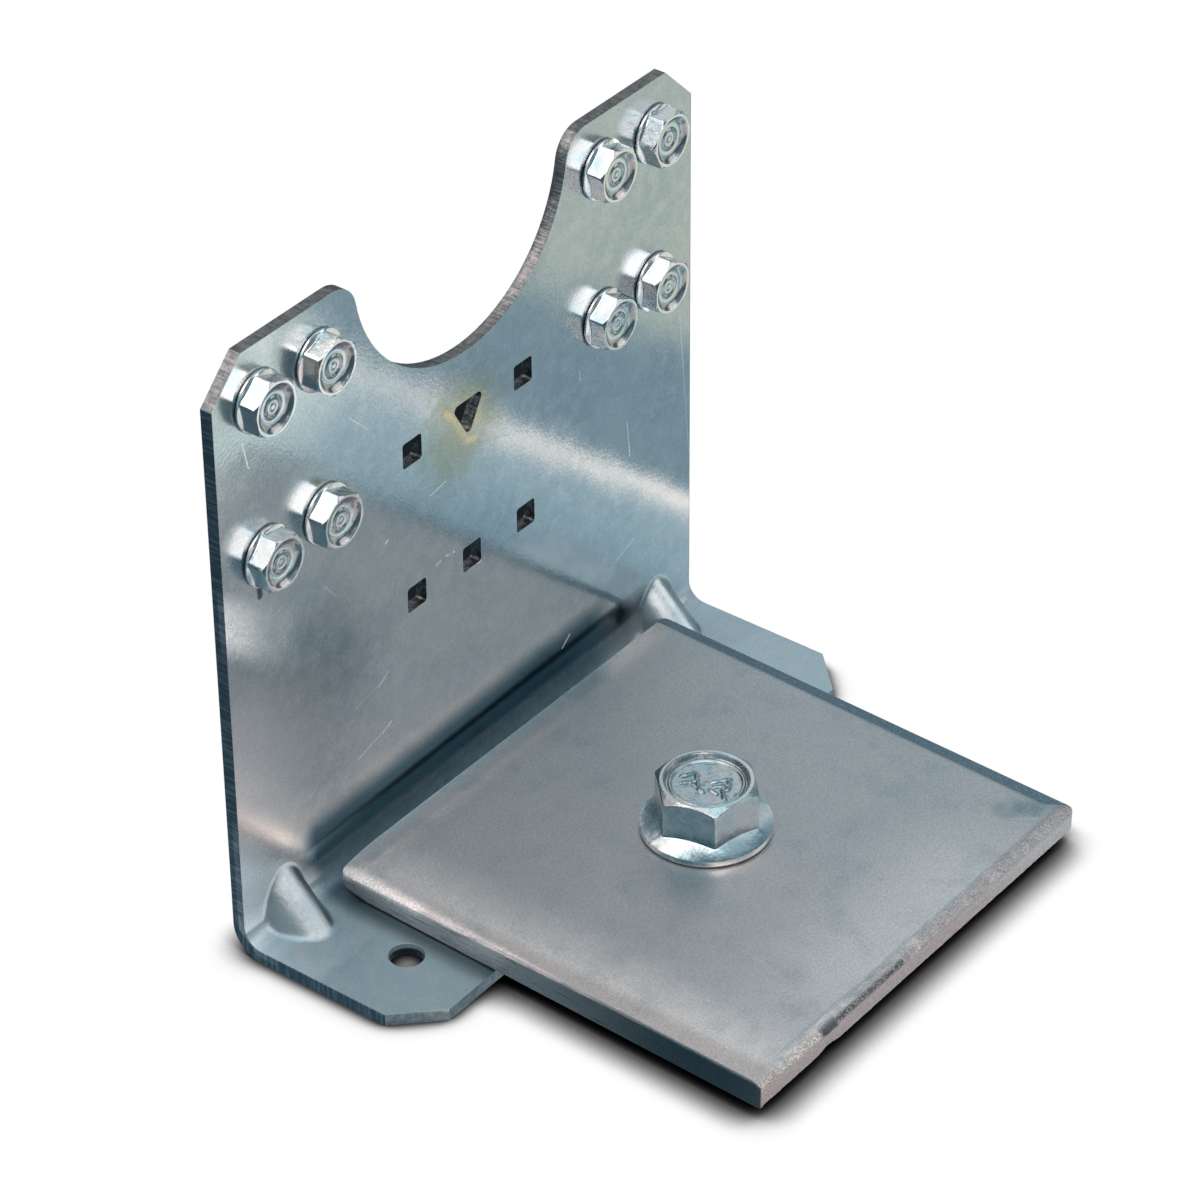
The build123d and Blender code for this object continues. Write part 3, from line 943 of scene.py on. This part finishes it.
    # Left of the notch, and beside each screw, the zinc mirrors less sharply
    wavy = graph.times(graph.fall(x, -32.0, -18.0), graph.fall(z, 62.0, 70.0))
    beside = []
    for column, row, _ in SCREW_PLACES:
        away = graph.distance(upright, (column - 4.5, LEG_FRONT, row + 3.5))
        beside.append(graph.fall(away, 4.0, 8.0))
    gloss = graph.plus(
        0.07,
        graph.times(mottle, 0.07),
        graph.times(graph.ramp(speck, 0.55, 0.8), 0.08),
        graph.times(stain, 0.08),
        graph.times(graph.most(bend, dart), 0.2),
        graph.times(flat, 0.16),
        graph.times(wavy, 0.12),
        graph.times(graph.most(*beside), 0.11),
    )
    gloss = graph.mix_numbers(cut, gloss, 0.42)
    bare = graph.minus(1.0, graph.times(bend, 0.3), graph.times(corner, 0.3), graph.times(glint, 0.3))
    graph.tree.links.new(bare, shader.inputs["Metallic"])

    height = graph.plus(
        graph.times(grain, 0.012),
        graph.times(speck, 0.003),
        graph.times(torn, graph.most(bend, dart), 0.05),
        graph.times(graph.noise(place, 0.07, 2), 0.09),
    )
    height = graph.minus(height, graph.times(marks, 0.02))
    torn_height = graph.plus(graph.times(across, 0.1), graph.times(torn, 0.1))
    graph.finish(shader, tone, gloss, graph.mix_numbers(cut, height, torn_height))
    return material


# Scratches on the plate's top: two ends in X and Y
PLATE_SCRATCHES = [
    ((31.2, -54.6), (33.9, -58.1)),
    ((37.4, -56.7), (38.4, -57.6)),
    ((36.6, -56.9), (37.4, -57.0)),
    ((-29.0, -40.0), (-27.5, -46.0)),
]


def make_plate_steel():
    """Rolled steel in warm and cool patches, with a torn front edge, painted highlights along its left,
    front and back, and painted shade on its dark left wall, its left roll, its facets and in its chip.
    """
    material, graph, shader, place = new_material("plate")
    x, y, z = graph.split(place)
    cloud = graph.noise(place, 0.05, 3, 0.55, shift=(5, 2, 0))
    mottle = graph.noise(place, 0.28, 4, 0.6, shift=(1, 3, 5))
    grain = graph.noise(place, 2.2, 3, 0.6, stretch=(0.5, 1, 1))
    speck = graph.noise(place, 4.0, 2, 0.7, shift=(4, 8, 1))
    smudge = graph.noise(place, 0.16, 4, 0.62, shift=(3, 9, 4))
    torn = graph.noise(place, 3.6, 3, 0.65, stretch=(0.65, 1, 1), shift=(1, 1, 8))
    lengthwise = graph.noise(place, 1.2, 3, 0.6, stretch=(1, 0.15, 1.6), shift=(7, 1, 2))

    # Distances in from the sides, the right one along its slant, and how far the patches wander
    (left_x, front_y), _ = PLATE_CORNERS[0]
    (right_x, _), _ = PLATE_CORNERS[1]
    left = graph.minus(x, PLATE_CENTRE[0] + left_x)
    front = graph.minus(y, PLATE_CENTRE[1] + front_y)
    right = graph.plus(graph.minus(PLATE_CENTRE[0] + right_x, x), graph.times(front, 0.027))
    back = graph.minus(PLATE_DEPTH, front)
    wander = graph.times(graph.minus(mottle, 0.5), 6.0)

    # Painted reflection: paler towards the front edge
    pale_front = graph.times(
        graph.ramp(graph.plus(front, wander), 2.0, 22.0, 0.6, 0.0),
        graph.ramp(left, 8.0, 28.0, 0.35, 1.0),
        graph.ramp(left, 50.0, 72.0, 1.0, 0.2),
    )
    # Painted highlight along the back edge's roll
    warm_back = graph.times(graph.ramp(back, 1.0, 6.5, 0.8, 0.0), graph.ramp(left, 15.0, 60.0, 1.0, 0.35))
    # Painted shade on the left roll, just inside the left edge
    left_roll_shade = graph.times(graph.ramp(left, 2.2, 4.8, 0.65, 0.0), graph.ramp(front, 30.0, 70.0, 1.0, 0.5))
    dark_mark = graph.stroke(place, (33.2, -53.5, PLATE_MARK_Z), (35.2, -56.4, PLATE_MARK_Z), 1.5, 2.8)
    dark_mark = graph.times(dark_mark, graph.ramp(mottle, 0.3, 0.6, 0.25, 0.7))
    marks = []
    for start, end in PLATE_SCRATCHES:
        marks.append(graph.stroke(place, (*start, PLATE_MARK_Z), (*end, PLATE_MARK_Z), 0.1, 0.16))

    sheared = graph.fall(graph.plus(front, graph.times(wander, 0.15)), 0.6, 2.0)
    plain = graph.mix(graph.ramp(torn, 0.3, 0.7), (0.40, 0.355, 0.365), (0.56, 0.495, 0.48))
    torn_tone = graph.mix(graph.ramp(torn, 0.36, 0.64), (0.31, 0.295, 0.305), (0.45, 0.415, 0.405))
    bright_end = graph.times(graph.fall(x, -24.0, -20.0), graph.ramp(torn, 0.45, 0.6, 0.1, 0.75))
    torn_tone = graph.paint(
        torn_tone,
        (bright_end, (0.78, 0.68, 0.62)),
        (graph.fall(z, 4.7, 5.5), plain),
    )
    inset = graph.plus(graph.minus(left, graph.times(front, 0.0286)), 0.4)
    side = graph.fall(inset, 0.1, 0.45)
    # Painted shade on the left wall, deepest towards the front, with darker streaks along it
    wall = graph.mix(graph.ramp(front, 12.0, 66.0), (0.05, 0.077, 0.092), (0.50, 0.475, 0.48))
    wall = graph.mix(graph.ramp(lengthwise, 0.5, 0.7, 0.0, 0.45), wall, (0.05, 0.07, 0.085))
    # Painted highlight on the left roll near the back left corner
    roll_highlight = graph.stroke(place, (-35.6, 15.6, 6.2), (-36.8, 3.0, 6.2), 1.2, 1.8)
    roll_highlight = graph.times(roll_highlight, graph.ramp(speck, 0.35, 0.6, 0.3, 0.95))
    # Painted shade on the facets along the right and back sides
    facet = graph.minus(FACET_FOOT, graph.times(front, 0.009))
    facet = graph.ramp(graph.minus(facet, right), -0.05, 0.15)
    facet = graph.times(facet, graph.ramp(graph.minus(front, right), 0.0, 0.4))
    facet_tone = graph.mix(graph.ramp(speck, 0.45, 0.7), (0.13, 0.2, 0.25), (0.3, 0.36, 0.4))
    # Painted shade in the chip of the front edge, and a row of dark dots along that edge
    chip = graph.absolute(graph.minus(x, PLATE_CENTRE[0] + GOUGE_X))
    chip = graph.times(graph.fall(chip, 1.2, 2.3), graph.fall(front, 0.5, 1.9), graph.ramp(z, 4.3, 4.9))
    beads = graph.stroke(place, (-20.0, -59.6, 5.6), (-4.0, -59.8, 5.6), 0.3, 0.7)
    beads = graph.times(beads, graph.ramp(torn, 0.42, 0.55))
    dark = graph.times(graph.most(chip, beads), 0.9)

    across = graph.ramp(graph.plus(left, graph.times(wander, 3.0)), 15.0, 65.0)
    tone = graph.mix(across, (0.43, 0.425, 0.44), (0.385, 0.415, 0.43))
    tone = graph.paint(
        tone,
        (graph.ramp(cloud, 0.3, 0.7, 0.0, 0.5), (0.45, 0.445, 0.45)),
        (graph.ramp(mottle, 0.4, 0.8, 0.0, 0.5), (0.49, 0.465, 0.46)),
        # Painted highlight along the left edge
        (graph.ramp(graph.plus(left, wander), 2.0, 15.0, 0.75, 0.0), (0.80, 0.725, 0.70)),
        (pale_front, (0.70, 0.68, 0.67)),
        (warm_back, (1.0, 0.80, 0.72)),
        (left_roll_shade, (0.42, 0.365, 0.35)),
        (graph.ramp(smudge, 0.48, 0.72, 0.0, 0.32), (0.25, 0.31, 0.335)),
        (dark_mark, (0.15, 0.23, 0.27)),
        (graph.times(graph.most(*marks), graph.ramp(speck, 0.35, 0.6, 0.05, 0.35)), (0.8, 0.8, 0.8)),
        (sheared, torn_tone),
        (side, wall),
        (roll_highlight, (1.0, 0.90, 0.86)),
        (facet, facet_tone),
        (graph.times(graph.ramp(speck, 0.68, 0.8), 0.4), (0.8, 0.78, 0.76)),
        (dark, (0.04, 0.06, 0.07)),
    )
    tone = graph.grain(tone, place, 0.14)

    gloss = graph.plus(0.33, graph.times(mottle, 0.14), graph.times(graph.fall(left, 2.0, 6.0), 0.12))
    near = graph.fall(left, 1.5, 7.0)
    pits = graph.ramp(graph.noise(place, 1.6, 2, 0.5, shift=(6, 6, 6)), 0.66, 0.76)
    height = graph.times(grain, 0.014)
    height = graph.plus(height, graph.times(speck, graph.plus(0.01, graph.times(near, 0.04))))
    height = graph.minus(height, graph.times(pits, 0.03), graph.times(dark, 0.08))
    height = graph.plus(
        height,
        graph.times(torn, sheared, 0.12),
        graph.times(lengthwise, side, 0.15),
        graph.times(graph.noise(place, 0.12, 2), 0.06),
    )
    graph.finish(shader, tone, gloss, height)
    return material


def make_zinc(name, colour, roughness, dent, axis, low, high, dark_sides):
    """Bright zinc, with painted shade in the hollow whose faces look along an axis between two levels, and
    painted reflections on its rim and its dark sides.
    """
    material, graph, shader, place = new_material(name)
    cloud = graph.noise(place, 0.5, 3, 0.6)
    patch = graph.noise(place, 0.33, 2, 0.6, shift=(9, 2, 6))
    speck = graph.noise(place, 5.0, 3, 0.7, shift=(4, 8, 1))
    warm = scaled(colour, (1.06, 0.97, 0.92))
    teal = scaled(colour, (0.72, 0.92, 0.98))
    # Dark tone for the painted shade in the hollow and the painted reflections of dark sides
    painted_shade_tone = scaled(colour, (0.25, 0.38, 0.43))
    normal = graph.node("ShaderNodeNewGeometry").outputs["Normal"]
    level = graph.dot(place, axis)
    facing = graph.dot(normal, axis)
    # Painted shade in the hollow of the head's top
    hollow = graph.times(
        graph.window(level, low - 0.05, low + 0.05, high - 0.35, high - 0.02),
        graph.ramp(facing, 0.2, 0.4),
        graph.ramp(facing, 0.95, 0.99, 1.0, 0.3),
        graph.ramp(cloud, 0.35, 0.6, 1.0, 0.6),
    )
    # Painted pinkish reflection on the washer's rim
    rim = graph.window(level, low - 7.3, low - 7.2, low - 6.35, low - 6.2)
    rim = graph.times(rim, graph.fall(facing, 0.4, 0.7))
    # Darker and speckled on the faces round the head's top
    darker_top = graph.times(
        graph.window(facing, 0.35, 0.5, 0.85, 0.95),
        graph.ramp(level, low - 0.3, low - 0.1),
        graph.ramp(speck, 0.35, 0.6, 0.95, 0.5),
    )
    tone = graph.mix(graph.ramp(cloud, 0.35, 0.7), colour, warm)
    tone = graph.paint(
        tone,
        (graph.ramp(patch, 0.45, 0.7, 0.0, 0.8), teal),
        (hollow, painted_shade_tone),
        (rim, (0.95, 0.88, 0.86)),
        (darker_top, (0.36, 0.31, 0.30)),
    )
    # Painted reflections of something dark on the sides that face each direction
    for towards, start, full, strength in dark_sides:
        side = graph.ramp(graph.dot(normal, tuple(Vector(towards).normalized())), start, full)
        side = graph.times(side, graph.ramp(cloud, 0.3, 0.7, strength, 0.85 * strength))
        tone = graph.mix(side, tone, painted_shade_tone)
    tone = graph.mix(graph.times(graph.ramp(speck, 0.6, 0.75), 0.4), tone, (0.85, 0.87, 0.88))
    gloss = graph.plus(roughness, graph.times(cloud, 0.1))
    height = graph.plus(graph.times(graph.noise(place, 0.9, 2), dent), graph.times(speck, 0.006))
    graph.finish(shader, tone, gloss, height)
    return material


# Sides of the heads that mirror something dark: direction, cosines at its start and end, strength
ANCHOR_DARK_SIDES = [
    ((-0.97, -0.26, 0), 0.85, 0.95, 1.0),
    ((-0.10, -0.44, 0.89), 0.90, 0.96, 0.85),
    ((-0.30, -0.33, 0.89), 0.935, 0.985, 0.7),
]
SCREW_DARK_SIDES = [((-0.55, 0, -0.83), 0.72, 0.9, 0.85)]

make_camera()
make_floor()
make_world()
make_hole_shade_card()

sheet_metal = make_sheet_metal()
plate_steel = make_plate_steel()
anchor_zinc = make_zinc(
    "anchor_zinc",
    colour=(0.64, 0.69, 0.71),
    roughness=0.22,
    dent=0.09,
    axis=(0, 0, 1),
    low=PLATE_HIGH + 7.4,
    high=PLATE_HIGH + 8.75,
    dark_sides=ANCHOR_DARK_SIDES,
)
screw_zinc = make_zinc(
    "screw_zinc",
    colour=(0.76, 0.765, 0.775),
    roughness=0.1,
    dent=0.05,
    axis=(0, -1, 0),
    low=2.5 - LEG_FRONT,
    high=3.5 - LEG_FRONT,
    dark_sides=SCREW_DARK_SIDES,
)

bracket = cad_nodes["angle_bracket"]
bracket.data.materials.clear()
bracket.data.materials.append(sheet_metal)
weld = bracket.modifiers.new("weld", "WELD")
weld.merge_threshold = 1e-6
bevel = bracket.modifiers.new("bevel", "BEVEL")
bevel.width = 0.22 * MM
bevel.segments = 2
bevel.limit_method = "ANGLE"
bevel.angle_limit = math.radians(SHARP_ANGLE)
bevel.harden_normals = True

make_plate(plate_steel)
up, out_of_leg = (0, 0, 1), (0, -1, 0)
make_fastener(
    "anchor", "anchor_screw", ANCHOR_SEAT, up, ANCHOR_TURN, ANCHOR_SIZE, anchor_zinc,
)
for number, (column, row, turn) in enumerate(SCREW_PLACES, start=1):
    seat = (column, LEG_FRONT, row)
    name, node = f"screw_{number}", f"stud_screw_{number}"
    make_fastener(name, node, seat, out_of_leg, turn, SCREW_SIZE, screw_zinc)

bpy.context.scene.view_settings.view_transform = "Standard"
